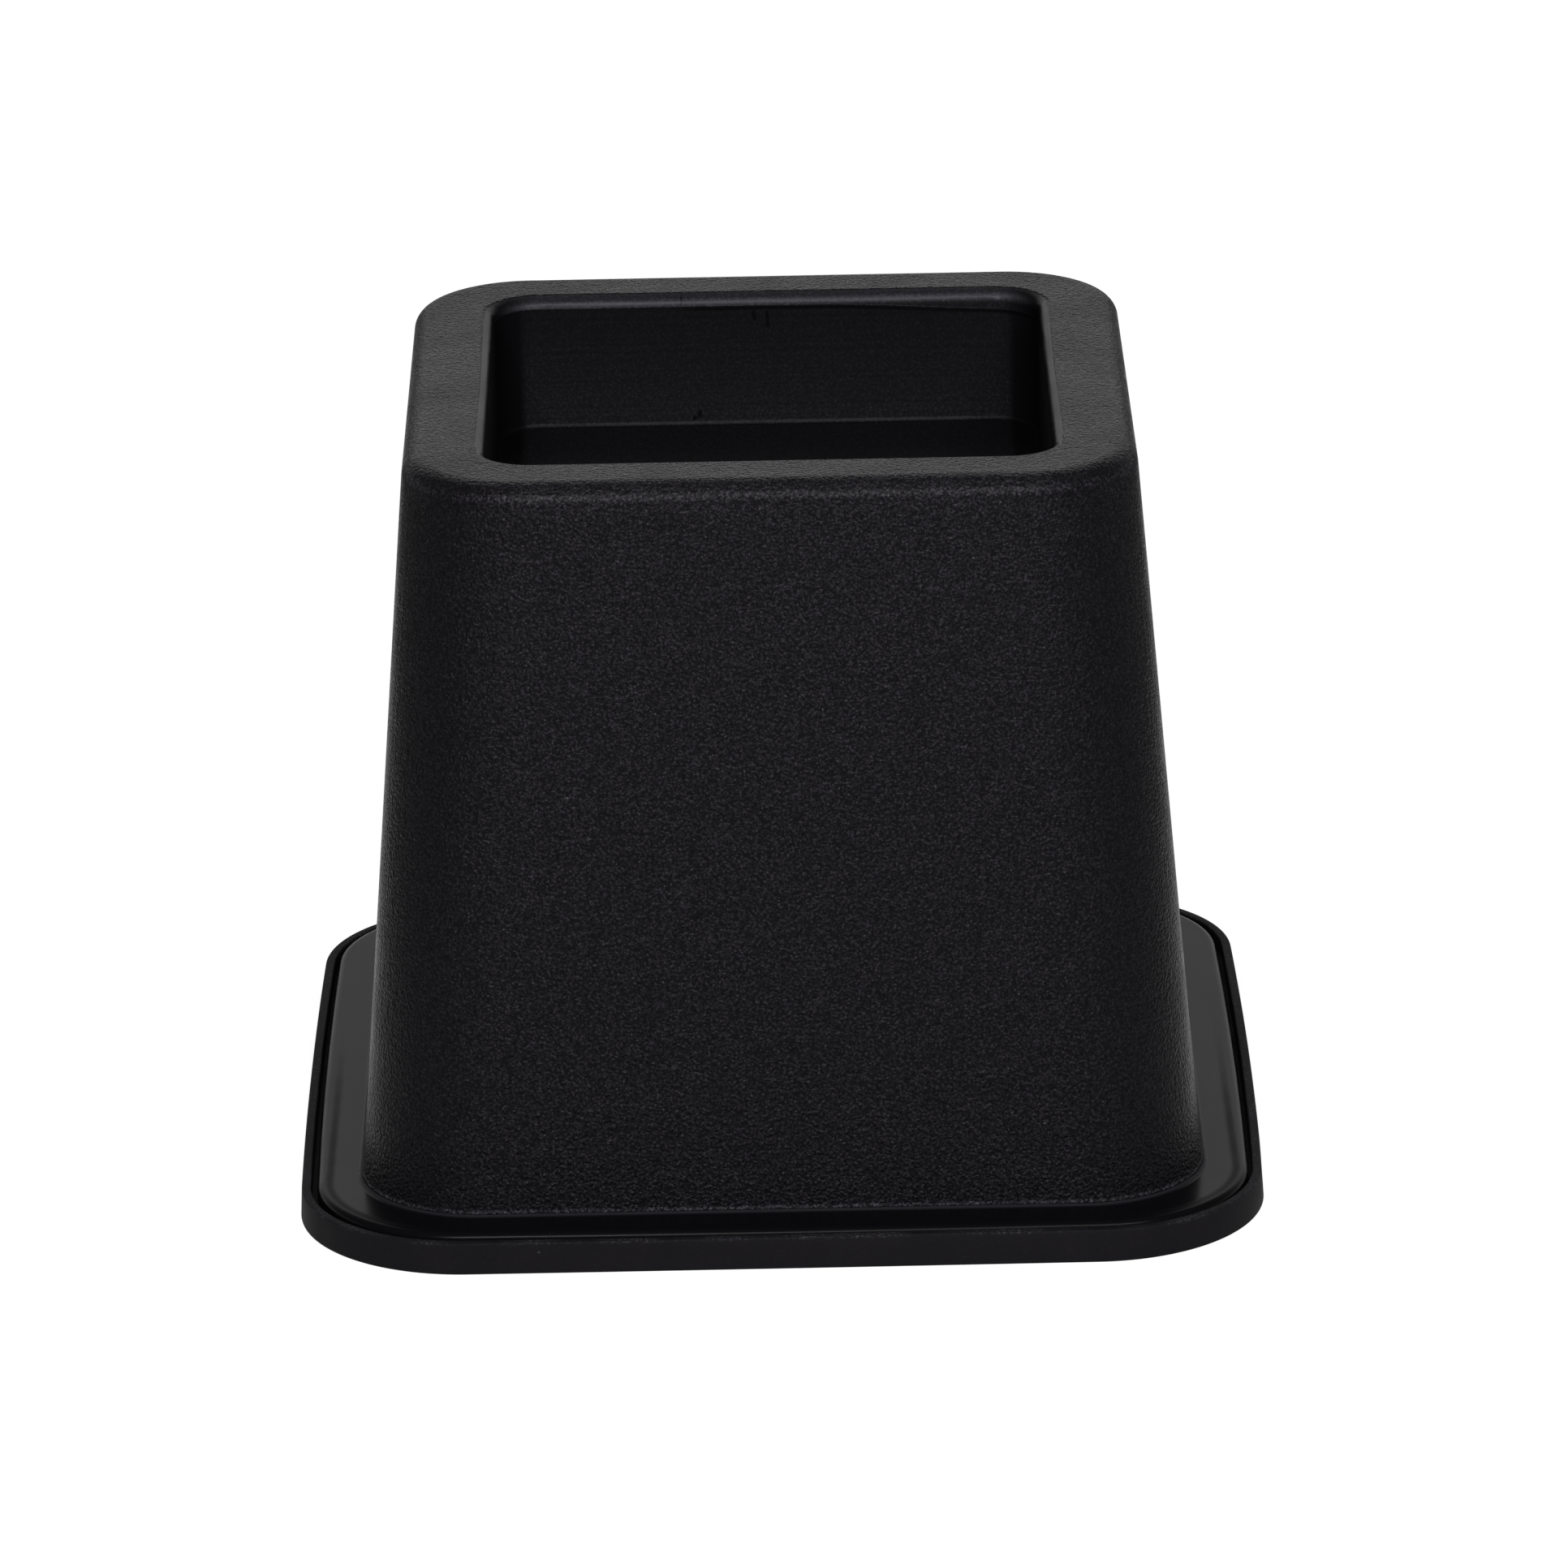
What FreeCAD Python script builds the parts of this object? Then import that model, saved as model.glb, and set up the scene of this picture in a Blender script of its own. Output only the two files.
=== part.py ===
import FreeCAD
import Part
import Sketcher
import math
import os

# A bed riser in two pieces. The riser body is a hollow tapered tower, open below, with a square
# pocket for the bed's leg in its top and a thin flange round its foot. The rubber boot is a shallow
# tray that the flange stands in. The origin is on the floor, below the middle; +Z is up.

# Driving sizes in millimetres: name, value, what it measures.
SIZES = (
    ("lift_height", 88.6, "floor to the pocket's floor"),
    ("pocket_depth", 19.4, "pocket's floor to the rim"),
    ("pocket_width", 78.0, "pocket's mouth from wall to wall"),
    ("pocket_draft", 0.3, "how far each pocket wall leans in at the floor"),
    ("pocket_corner", 6.5, "radius of the pocket's upright corners"),
    ("pocket_edge_round", 1.8, "rounding of the rim's inner edge"),
    ("pocket_floor_round", 0.5, "rounding where the pocket's walls meet its floor"),
    ("pocket_wall", 3.0, "thickness of the pocket's walls"),
    ("pocket_floor", 4.0, "thickness of the pocket's floor"),
    ("rim_width", 11.25, "pocket wall to outer wall at the rim"),
    ("rim_thickness", 3.5, "thickness of the top between the pocket and the outer wall"),
    ("rim_round", 3.0, "rounding of the rim's outer edge"),
    ("wall_spread", 8.35, "how far each outer wall leans out from the rim to the flange"),
    ("wall_top_corner", 16.3, "corner radius of the outer wall at the rim"),
    ("wall_foot_corner", 17.1, "corner radius of the outer wall at the flange"),
    ("wall_thickness", 3.0, "thickness of the outer wall"),
    ("foot_round", 1.0, "rounding where the outer wall meets the flange"),
    ("flange_ledge", 6.8, "how far the flange stands out from the wall"),
    ("flange_thickness", 3.3, "thickness of the flange"),
    ("flange_corner", 21.0, "corner radius of the flange"),
    ("flange_edge_round", 1.1, "rounding of the flange's upper edge"),
    ("side_bow", 0.45, "how far the sides of the flange and boot bulge at their middle"),
    ("rib_thickness", 2.4, "thickness of the two crossed ribs inside the body"),
    ("boot_floor", 1.8, "thickness of the rubber under the flange"),
    ("boot_inset", 0.4, "how far each side of the boot draws in at the floor"),
    ("lip_height", 4.6, "floor to the top of the boot's lip"),
    ("lip_thickness", 1.3, "thickness of the boot's lip"),
    ("lip_gap", 0.8, "clearance between the flange and the lip"),
    ("lip_round", 0.45, "rounding of the lip's upper edges"),
    ("sole_round", 0.5, "rounding of the boot's lower edge"),
)

# Sizes worked out from the driving ones. The body's heights start at the underside of its flange.
POCKET_LEVEL = "(sheet.lift_height - sheet.boot_floor)"
RIM_LEVEL = f"({POCKET_LEVEL} + sheet.pocket_depth)"
ROOF_LEVEL = f"({RIM_LEVEL} - sheet.rim_thickness)"
FLANGE_LEVEL = "sheet.flange_thickness"
POCKET_FLOOR_WIDTH = "(sheet.pocket_width - 2 * sheet.pocket_draft)"
CUP_WIDTH = "(sheet.pocket_width + 2 * sheet.pocket_wall)"
CUP_CORNER = "(sheet.pocket_corner + sheet.pocket_wall)"
WALL_TOP_WIDTH = "(sheet.pocket_width + 2 * sheet.rim_width)"
WALL_FOOT_WIDTH = f"({WALL_TOP_WIDTH} + 2 * sheet.wall_spread)"
WALL_LEAN = f"(sheet.wall_spread / ({RIM_LEVEL} - {FLANGE_LEVEL}))"
HOLLOW_TOP_WIDTH = f"({WALL_TOP_WIDTH} + 2 * {WALL_LEAN} * sheet.rim_thickness - 2 * sheet.wall_thickness)"
HOLLOW_FOOT_WIDTH = f"({WALL_FOOT_WIDTH} + 2 * {WALL_LEAN} * {FLANGE_LEVEL} - 2 * sheet.wall_thickness)"
HOLLOW_TOP_CORNER = "(sheet.wall_top_corner - sheet.wall_thickness)"
HOLLOW_FOOT_CORNER = "(sheet.wall_foot_corner - sheet.wall_thickness)"
FLANGE_WIDTH = f"({WALL_FOOT_WIDTH} + 2 * sheet.flange_ledge)"
TRAY_WIDTH = f"({FLANGE_WIDTH} + 2 * sheet.lip_gap)"
TRAY_CORNER = "(sheet.flange_corner + sheet.lip_gap)"
LIP_WIDTH = f"({TRAY_WIDTH} + 2 * sheet.lip_thickness)"
LIP_CORNER = f"({TRAY_CORNER} + sheet.lip_thickness)"
SOLE_WIDTH = f"({LIP_WIDTH} - 2 * sheet.boot_inset)"
SOLE_CORNER = f"({LIP_CORNER} - sheet.boot_inset)"

FLOOR_LEVEL = "0"
MIDDLE = "0"
SIDES = ("right", "back", "left", "front")
UP = FreeCAD.Vector(0, 0, 1)
FLAT = 1e-4

doc = FreeCAD.newDocument("bed_riser")
sheet = doc.addObject("Spreadsheet::Sheet", "sheet")


def fill_sheet():
    """Write each driving size into the sheet under its own name."""
    for row, (name, size, meaning) in enumerate(SIZES, start=1):
        sheet.set(f"A{row}", meaning)
        sheet.set(f"B{row}", str(size))
        sheet.setAlias(f"B{row}", name)
    doc.recompute()


def value(expression):
    """The number that an expression over the sheet comes to."""
    return float(sheet.evalExpression(expression))


def new_body(label):
    """An empty body with its own label."""
    body = doc.addObject("PartDesign::Body", label)
    body.Label = label
    return body


def new_sketch(body, name, plane, offset):
    """A sketch on one of the body's origin planes, moved along the plane's normal."""
    sketch = body.newObject("Sketcher::SketchObject", name)
    support = next(feature for feature in body.Origin.OriginFeatures if feature.Role == plane)
    sketch.AttachmentSupport = [(support, "")]
    sketch.MapMode = "FlatFace"
    sketch.setExpression("AttachmentOffset.Base.z", offset)
    return sketch


def bind(sketch, name, expression, kind, *where):
    """Add a named dimension to a sketch and tie it to the sheet."""
    index = sketch.addConstraint(Sketcher.Constraint(kind, *where, value(expression)))
    sketch.renameConstraint(index, name)
    sketch.setExpression("Constraints." + name, expression)


def corner_arc(sketch, centre, radius, start, end):
    """Add an arc, with its two angles in radians."""
    sketch.addGeometry(Part.ArcOfCircle(Part.Circle(centre, UP, radius), start, end))


def join_round(sketch):
    """Join four sides and four corners, drawn in turn, into one smooth loop with equal corners."""
    for turn in range(4):
        side, corner, following = 2 * turn, 2 * turn + 1, (2 * turn + 2) % 8
        sketch.addConstraint(Sketcher.Constraint("Tangent", side, 2, corner, 1))
        sketch.addConstraint(Sketcher.Constraint("Tangent", corner, 2, following, 1))
    for corner in (3, 5, 7):
        sketch.addConstraint(Sketcher.Constraint("Equal", 1, corner))


def straight_square(body, name, level, width, corner):
    """A level square outline with straight sides and round corners."""
    sketch = new_sketch(body, name, "XY_Plane", level)
    half, radius = value(width) / 2, value(corner)
    reach = half - radius
    for turn in range(4):
        spin = FreeCAD.Rotation(UP, 90 * turn)
        start = spin.multVec(FreeCAD.Vector(half, -reach, 0))
        end = spin.multVec(FreeCAD.Vector(half, reach, 0))
        sketch.addGeometry(Part.LineSegment(start, end))
        centre = spin.multVec(FreeCAD.Vector(reach, reach, 0))
        corner_arc(sketch, centre, radius, math.pi / 2 * turn, math.pi / 2 * (turn + 1))
    join_round(sketch)
    for turn, side in enumerate(SIDES):
        upright = turn % 2 == 0
        sketch.addConstraint(Sketcher.Constraint("Vertical" if upright else "Horizontal", 2 * turn))
        ends = (-1, 1, 2 * turn, 1) if turn < 2 else (2 * turn, 1, -1, 1)
        bind(sketch, side, f"{width} / 2", "DistanceX" if upright else "DistanceY", *ends)
    bind(sketch, "corner", corner, "Radius", 1)
    return sketch


def bowed_square(body, name, level, width, corner):
    """A level square outline whose sides bulge a little, as shallow arcs, between round corners."""
    sketch = new_sketch(body, name, "XY_Plane", level)
    bow_radius = f"((({width} / 2 - {corner})^2 + sheet.side_bow^2) / (2 * sheet.side_bow))"
    bow_offset = f"({bow_radius} - {width} / 2)"
    bow, offset, radius = value(bow_radius), value(bow_offset), value(corner)
    reach = (math.sqrt(2 * (bow - radius) ** 2 - offset ** 2) - offset) / 2
    swing = math.atan2(reach, reach + offset)
    for turn in range(4):
        spin = FreeCAD.Rotation(UP, 90 * turn)
        ahead, quarter = math.pi / 2 * turn, math.pi / 2
        corner_arc(sketch, spin.multVec(FreeCAD.Vector(-offset, 0, 0)), bow, ahead - swing, ahead + swing)
        centre = spin.multVec(FreeCAD.Vector(reach, reach, 0))
        corner_arc(sketch, centre, radius, ahead + swing, ahead + quarter - swing)
    join_round(sketch)
    for side in (2, 4, 6):
        sketch.addConstraint(Sketcher.Constraint("Equal", 0, side))
    for turn, side in enumerate(SIDES):
        upright = turn % 2 == 0
        sketch.addConstraint(Sketcher.Constraint("PointOnObject", 2 * turn, 3, -1 if upright else -2))
        ends = (2 * turn, 3, -1, 1) if turn < 2 else (-1, 1, 2 * turn, 3)
        bind(sketch, side, bow_offset, "DistanceX" if upright else "DistanceY", *ends)
    bind(sketch, "bow", bow_radius, "Radius", 0)
    bind(sketch, "corner", corner, "Radius", 1)
    return sketch


def loft(body, kind, name, lower, upper):
    """Add or cut the straight-sided form between two level outlines."""
    feature = body.newObject("PartDesign::" + kind, name)
    feature.Profile = lower
    feature.Sections = [upper]
    feature.Ruled = True
    doc.recompute()
    return feature


def pad(body, name, sketch, length, side_type="One side"):
    """Add the form that a sketch sweeps along its normal."""
    feature = body.newObject("PartDesign::Pad", name)
    feature.Profile = sketch
    feature.SideType = side_type
    feature.setExpression("Length", length)
    doc.recompute()
    return feature


def add_rib(body, name, plane):
    """Add an upright rib from the flange's underside to the roof, with both ends inside the walls."""
    sketch = new_sketch(body, name + "_outline", plane, MIDDLE)
    foot_half = f"({HOLLOW_FOOT_WIDTH} + sheet.wall_thickness) / 2"
    roof_half = f"({HOLLOW_TOP_WIDTH} + sheet.wall_thickness) / 2"
    foot, roof, top = value(foot_half), value(roof_half), value(ROOF_LEVEL)
    corners = [FreeCAD.Vector(*point, 0) for point in ((-foot, 0), (foot, 0), (roof, top), (-roof, top))]
    for index in range(4):
        sketch.addGeometry(Part.LineSegment(corners[index], corners[(index + 1) % 4]))
    for index in range(4):
        sketch.addConstraint(Sketcher.Constraint("Coincident", index, 2, (index + 1) % 4, 1))
    sketch.addConstraint(Sketcher.Constraint("PointOnObject", 0, 2, -1))
    sketch.addConstraint(Sketcher.Constraint("Symmetric", 0, 1, 0, 2, -2))
    sketch.addConstraint(Sketcher.Constraint("Symmetric", 2, 1, 2, 2, -2))
    bind(sketch, "foot_half", foot_half, "DistanceX", -1, 1, 0, 2)
    bind(sketch, "roof_half", roof_half, "DistanceX", -1, 1, 2, 1)
    bind(sketch, "roof", ROOF_LEVEL, "DistanceY", -1, 1, 2, 1)
    return pad(body, name, sketch, "sheet.rib_thickness", "Symmetric")


def level_wires(feature, level):
    """The outer wire and the inner wires of the flat face that lies at a height."""
    for face in feature.Shape.Faces:
        flat = isinstance(face.Surface, Part.Plane) and abs(abs(face.Surface.Axis.z) - 1) < FLAT
        if flat and abs(face.CenterOfMass.z - value(level)) < FLAT:
            outer = face.OuterWire
            return outer, [wire for wire in face.Wires if not wire.isSame(outer)]
    raise RuntimeError(f"{feature.Name} has no flat face at {level}")


def round_edges(body, name, wires, radius):
    """Round every edge of some wires of the body's last feature."""
    base = body.Tip
    wanted = [edge for wire in wires for edge in wire.Edges]
    names = [
        f"Edge{number}"
        for number, edge in enumerate(base.Shape.Edges, start=1)
        if any(edge.isSame(other) for other in wanted)
    ]
    fillet = body.newObject("PartDesign::Fillet", name)
    fillet.Base = (base, names)
    fillet.setExpression("Radius", radius)
    doc.recompute()
    return fillet


def build_riser_body():
    """The riser: flange, tapered walls, hollow, pocket with its cup, ribs and rounded edges."""
    body = new_body("riser_body")
    body.setExpression("Placement.Base.z", "sheet.boot_floor")
    flange_outline = bowed_square(body, "flange_outline", FLOOR_LEVEL, FLANGE_WIDTH, "sheet.flange_corner")
    pad(body, "flange", flange_outline, FLANGE_LEVEL)
    wall_foot = straight_square(body, "wall_foot", FLANGE_LEVEL, WALL_FOOT_WIDTH, "sheet.wall_foot_corner")
    wall_top = straight_square(body, "wall_top", RIM_LEVEL, WALL_TOP_WIDTH, "sheet.wall_top_corner")
    loft(body, "AdditiveLoft", "tower", wall_foot, wall_top)
    hollow_foot = straight_square(body, "hollow_foot", FLOOR_LEVEL, HOLLOW_FOOT_WIDTH, HOLLOW_FOOT_CORNER)
    hollow_top = straight_square(body, "hollow_top", ROOF_LEVEL, HOLLOW_TOP_WIDTH, HOLLOW_TOP_CORNER)
    loft(body, "SubtractiveLoft", "hollow", hollow_foot, hollow_top)
    cup_level = f"({POCKET_LEVEL} - sheet.pocket_floor)"
    cup_outline = straight_square(body, "cup_outline", cup_level, CUP_WIDTH, CUP_CORNER)
    pad(body, "cup", cup_outline, f"{ROOF_LEVEL} - {cup_level}")
    add_rib(body, "rib_across", "XZ_Plane")
    add_rib(body, "rib_along", "YZ_Plane")
    pocket_base = straight_square(body, "pocket_base", POCKET_LEVEL, POCKET_FLOOR_WIDTH, "sheet.pocket_corner")
    pocket_mouth = straight_square(body, "pocket_mouth", RIM_LEVEL, "sheet.pocket_width", "sheet.pocket_corner")
    loft(body, "SubtractiveLoft", "pocket", pocket_base, pocket_mouth)
    round_edges(body, "pocket_floor_edge", [level_wires(body.Tip, POCKET_LEVEL)[0]], "sheet.pocket_floor_round")
    round_edges(body, "pocket_edge", level_wires(body.Tip, RIM_LEVEL)[1], "sheet.pocket_edge_round")
    round_edges(body, "rim_edge", [level_wires(body.Tip, RIM_LEVEL)[0]], "sheet.rim_round")
    round_edges(body, "foot_edge", level_wires(body.Tip, FLANGE_LEVEL)[1], "sheet.foot_round")
    round_edges(body, "flange_edge", [level_wires(body.Tip, FLANGE_LEVEL)[0]], "sheet.flange_edge_round")
    return body


def build_rubber_boot():
    """The boot: a shallow rubber tray with a flat floor and a thin upright lip."""
    body = new_body("rubber_boot")
    sole = bowed_square(body, "sole", FLOOR_LEVEL, SOLE_WIDTH, SOLE_CORNER)
    lip = bowed_square(body, "lip", "sheet.lip_height", LIP_WIDTH, LIP_CORNER)
    loft(body, "AdditiveLoft", "tray", sole, lip)
    bed = bowed_square(body, "bed", "sheet.boot_floor", TRAY_WIDTH, TRAY_CORNER)
    recess = body.newObject("PartDesign::Pocket", "recess")
    recess.Profile = bed
    recess.Reversed = True
    recess.setExpression("Length", "sheet.lip_height - sheet.boot_floor")
    doc.recompute()
    outer, inner = level_wires(body.Tip, "sheet.lip_height")
    round_edges(body, "lip_edges", [outer] + inner, "sheet.lip_round")
    round_edges(body, "sole_edge", [level_wires(body.Tip, FLOOR_LEVEL)[0]], "sheet.sole_round")
    return body


def check_document(bodies):
    """Stop if any object failed, or a body is empty, broken or not one solid."""
    for item in doc.Objects:
        if {"Invalid", "Error"} & set(item.State):
            raise RuntimeError(f"{item.Name} failed")
    for body in bodies:
        shape = body.Shape
        if shape.isNull() or not shape.isValid() or len(shape.Solids) != 1:
            raise RuntimeError(f"{body.Label} is not one sound solid")


def main():
    """Build both pieces and write one file for each."""
    fill_sheet()
    bodies = [build_riser_body(), build_rubber_boot()]
    check_document(bodies)
    os.makedirs("parts", exist_ok=True)
    for body in bodies:
        body.Shape.exportStep(f"parts/{body.Label}.step")
        print(body.Label, round(body.Shape.Volume / 1000, 2), "cm3")


main()
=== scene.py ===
import math

import bmesh
import bpy
from bpy.props import FloatProperty, FloatVectorProperty, PointerProperty
from mathutils import Matrix, Vector


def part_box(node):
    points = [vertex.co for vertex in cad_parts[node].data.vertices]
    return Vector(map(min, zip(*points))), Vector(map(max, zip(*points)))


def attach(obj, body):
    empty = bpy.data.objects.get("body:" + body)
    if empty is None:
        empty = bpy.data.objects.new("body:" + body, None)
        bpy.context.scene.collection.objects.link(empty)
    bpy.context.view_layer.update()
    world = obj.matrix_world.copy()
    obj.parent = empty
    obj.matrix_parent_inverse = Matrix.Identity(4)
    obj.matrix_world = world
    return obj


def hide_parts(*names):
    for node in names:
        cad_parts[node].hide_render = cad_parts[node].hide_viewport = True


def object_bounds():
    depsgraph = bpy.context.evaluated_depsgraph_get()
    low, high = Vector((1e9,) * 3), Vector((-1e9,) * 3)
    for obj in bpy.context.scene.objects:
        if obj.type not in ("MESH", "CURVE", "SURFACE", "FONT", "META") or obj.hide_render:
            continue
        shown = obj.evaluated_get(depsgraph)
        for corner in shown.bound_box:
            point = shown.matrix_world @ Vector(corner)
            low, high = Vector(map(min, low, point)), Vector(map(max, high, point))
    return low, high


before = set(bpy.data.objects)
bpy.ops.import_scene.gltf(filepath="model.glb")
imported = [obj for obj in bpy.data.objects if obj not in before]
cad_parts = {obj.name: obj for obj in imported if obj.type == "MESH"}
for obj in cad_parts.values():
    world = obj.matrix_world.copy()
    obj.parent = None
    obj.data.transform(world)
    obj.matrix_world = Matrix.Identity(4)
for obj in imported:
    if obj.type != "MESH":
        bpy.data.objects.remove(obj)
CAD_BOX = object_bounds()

bl_info = {
    "name": "Bed Riser",
    "version": (1, 0, 0),
    "blender": (4, 5, 0),
    "location": "3D View > Sidebar > Bed Riser",
    "description": "Finishes a moulded bed riser and its rubber boot, and lights them in a plain studio",
    "category": "Object",
}

# Lengths are in metres, as in the frame. The front is towards -Y and the origin is on the floor.
MM = 0.001
BODY = "root"
RISER = "riser_body"
BOOT = "rubber_boot"
RIM_LEVEL = CAD_BOX[1].z
FLANGE_LEVEL = 5.1 * MM
SKEW_ROOM = 0.02 * MM
TRAY_EDGE = 8 * MM
FLOOR_GAP = 0.05 * MM
PLASTIC_DUST = (0.06, 0.06, 0.06, 1.0)
RUBBER_DUST = (0.08, 0.08, 0.08, 1.0)


class PlasticSettings(bpy.types.PropertyGroup):
    """The black moulded plastic of the riser's body."""

    # Partly the plastic's own tone, partly painted shade in the hollows of its grain.
    grain_and_hollow_shade_colour: FloatVectorProperty(
        name="Grain colour",
        description="Colour of the grained plastic in the hollows of its grain",
        subtype="COLOR", size=3, min=0.0, max=1.0, default=(0.0044, 0.0040, 0.0049))
    # Partly the plastic's own tone, partly painted highlights on the crowns of its grain.
    speck_and_painted_highlight_colour: FloatVectorProperty(
        name="Speck colour",
        description="Colour of the grained plastic on the crowns of its grain",
        subtype="COLOR", size=3, min=0.0, max=1.0, default=(0.0275, 0.0253, 0.0299))
    smooth_colour: FloatVectorProperty(
        name="Smooth colour", description="Colour of the plastic where it is smooth",
        subtype="COLOR", size=3, min=0.0, max=1.0, default=(0.0030, 0.0027, 0.0033))
    # A painted sheen on the pocket's floor and end walls, and a painted highlight where they meet.
    painted_sheen_colour: FloatVectorProperty(
        name="Haze colour", description="Colour of the pale haze low in the pocket",
        subtype="COLOR", size=3, min=0.0, max=1.0, default=(0.0200, 0.0190, 0.0220))
    # A painted highlight, used on the pocket's mouth and along the foot.
    painted_highlight_colour: FloatVectorProperty(
        name="Worn colour",
        description="Colour of the pocket's worn mouth and of the sparkling line at the foot",
        subtype="COLOR", size=3, min=0.0, max=1.0, default=(0.0470, 0.0460, 0.0540))
    grain_pitch: FloatProperty(
        name="Grain pitch", description="Distance from one bump of the moulded grain to the next",
        unit="LENGTH", default=0.40 * MM)
    grain_depth: FloatProperty(
        name="Grain depth", description="Height of the moulded grain's bumps",
        unit="LENGTH", default=0.4 * MM)
    grain_roughness: FloatProperty(
        name="Grain roughness", description="Roughness of the grained walls and rim",
        subtype="FACTOR", min=0.0, max=1.0, default=0.31)
    pocket_roughness: FloatProperty(
        name="Pocket roughness", description="Roughness of the smooth pocket and the foot of the wall",
        subtype="FACTOR", min=0.0, max=1.0, default=0.5)
    mouth_roughness: FloatProperty(
        name="Mouth roughness", description="Roughness of the pocket's worn mouth",
        subtype="FACTOR", min=0.0, max=1.0, default=0.25)
    flange_roughness: FloatProperty(
        name="Flange roughness", description="Roughness of the smooth flange",
        subtype="FACTOR", min=0.0, max=1.0, default=0.21)
    line_depth: FloatProperty(
        name="Tool line depth",
        description="Height of the fine tool lines in the pocket and on the flange",
        unit="LENGTH", default=0.002 * MM)
    line_pitch: FloatProperty(
        name="Tool line pitch", description="Distance from one tool line to the next",
        unit="LENGTH", default=0.625 * MM)
    gloss: FloatProperty(
        name="Gloss", description="Specular level of the plastic",
        subtype="FACTOR", min=0.0, max=1.0, default=0.037)
    pocket_width: FloatProperty(
        name="Pocket width", description="Pocket's mouth from wall to wall",
        unit="LENGTH", default=78.0 * MM)
    pocket_depth: FloatProperty(
        name="Pocket depth", description="Pocket's floor to the rim",
        unit="LENGTH", default=19.4 * MM)
    mouth_round: FloatProperty(
        name="Mouth rounding", description="Rounding of the rim's inner edge",
        unit="LENGTH", default=1.8 * MM)
    foot_round: FloatProperty(
        name="Foot rounding", description="Rounding where the wall meets the flange",
        unit="LENGTH", default=1.0 * MM)
    flange_width: FloatProperty(
        name="Flange width", description="Flange from side to side",
        unit="LENGTH", default=130.7 * MM)
    flange_corner: FloatProperty(
        name="Flange corner", description="Corner radius of the flange",
        unit="LENGTH", default=21.0 * MM)
    dull_roughness: FloatProperty(
        name="Dull roughness",
        description="Roughness of the dull band along the flange's front half",
        subtype="FACTOR", min=0.0, max=1.0, default=0.45)


class BootSettings(bpy.types.PropertyGroup):
    """The rubber tray that the flange stands in."""

    colour: FloatVectorProperty(
        name="Colour", description="Colour of the rubber",
        subtype="COLOR", size=3, min=0.0, max=1.0, default=(0.0069, 0.0061, 0.0075))
    roughness: FloatProperty(
        name="Roughness", description="Roughness of the rubber",
        subtype="FACTOR", min=0.0, max=1.0, default=0.75)
    gloss: FloatProperty(
        name="Gloss", description="Specular level of the rubber",
        subtype="FACTOR", min=0.0, max=1.0, default=0.08)
    grain_pitch: FloatProperty(
        name="Grain pitch", description="Distance from one bump of the rubber's skin to the next",
        unit="LENGTH", default=0.45 * MM)
    grain_depth: FloatProperty(
        name="Grain depth", description="Height of the bumps of the rubber's skin",
        unit="LENGTH", default=0.006 * MM)
    scuff_colour: FloatVectorProperty(
        name="Scuff colour", description="Colour of the scuffs along the lip's edge",
        subtype="COLOR", size=3, min=0.0, max=1.0, default=(0.0420, 0.0405, 0.0440))
    lip_height: FloatProperty(
        name="Lip height", description="Floor to the top of the lip",
        unit="LENGTH", default=4.6 * MM)
    floor_thickness: FloatProperty(
        name="Floor thickness", description="Thickness of the rubber under the flange",
        unit="LENGTH", default=1.8 * MM)
    lip_thickness: FloatProperty(
        name="Lip thickness", description="Thickness of the upright lip",
        unit="LENGTH", default=1.3 * MM)
    lip_round: FloatProperty(
        name="Lip rounding", description="Rounding of the lip's upper edges",
        unit="LENGTH", default=0.25 * MM)
    sole_round: FloatProperty(
        name="Sole rounding", description="Rounding of the lower edge",
        unit="LENGTH", default=0.35 * MM)
    sole_inset: FloatProperty(
        name="Sole inset", description="How far each side draws in at the floor",
        unit="LENGTH", default=0.1 * MM)
    corner: FloatProperty(
        name="Corner radius", description="Outer radius of the corners at the lip",
        unit="LENGTH", default=23.1 * MM)
    side_bow: FloatProperty(
        name="Side bow", description="How far each side bulges at its middle",
        unit="LENGTH", default=0.45 * MM)
    sole_bow: FloatProperty(
        name="Sole bow", description="How far each side bulges at the floor",
        unit="LENGTH", default=0.1 * MM)
    sole_corner: FloatProperty(
        name="Sole corner radius", description="Outer radius of the corners at the floor",
        unit="LENGTH", default=24.0 * MM)
    skew: FloatProperty(
        name="Skew", description="How far the soft boot is pulled out of square",
        subtype="ANGLE", unit="ROTATION", default=math.radians(0.15))


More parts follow.
